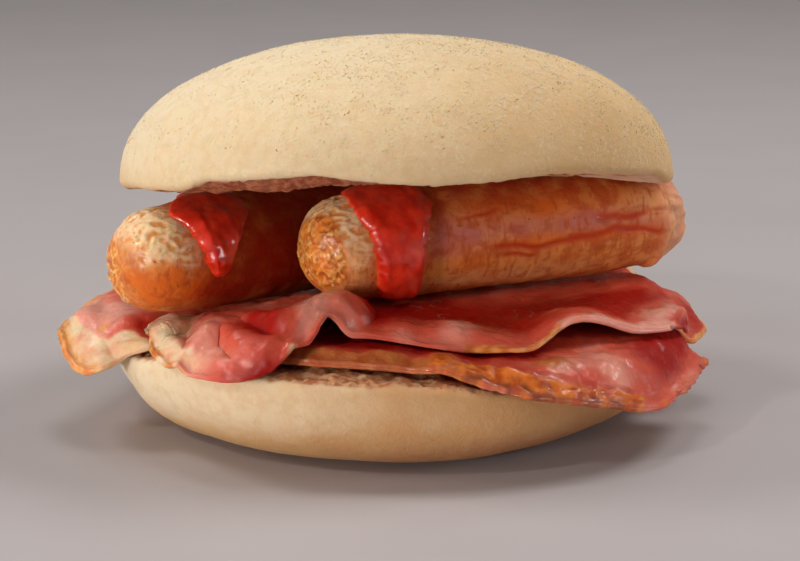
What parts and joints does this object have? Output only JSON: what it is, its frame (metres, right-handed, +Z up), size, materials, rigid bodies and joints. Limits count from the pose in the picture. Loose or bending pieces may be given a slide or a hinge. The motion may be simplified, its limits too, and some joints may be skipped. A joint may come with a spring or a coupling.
{
  "type": "breakfast roll",
  "caption": "Soft floury bap cut open and filled with back bacon rashers, fried pork sausages and runs of ketchup.",
  "frame": {"origin": "centre of the flat foot that the lower half of the roll stands on", "axes": "+Z up, +X along the bacon towards its right ends, -Y towards the open front where the sausages' noses show"},
  "size_m": [0.1341, 0.1171, 0.0799],
  "materials": {
    "bread_heel": "matte floury bread crust, cream to tan, with a rough pale crumb on the cut face",
    "bread_crown": "matte cream bread crust with fine grains of flour and semolina",
    "sausage": "greasy fried skin, orange brown with pink patches and a bumpy browned tip",
    "ketchup": "wet glossy tomato red",
    "bacon": "moist fried pink meat with cream fat at the edge",
    "bacon_rind": "moist fried meat with a crisp orange brown rind along one edge"
  },
  "bodies": {
    "root": {"heel": "bread_heel", "crown": "bread_crown", "sausage_front": "sausage", "sausage_back": "sausage", "ketchup_front": "ketchup", "ketchup_back": "ketchup", "bacon_top": "bacon", "bacon_bottom": "bacon_rind", "bacon_back": "bacon"}
  },
  "joints": []
}
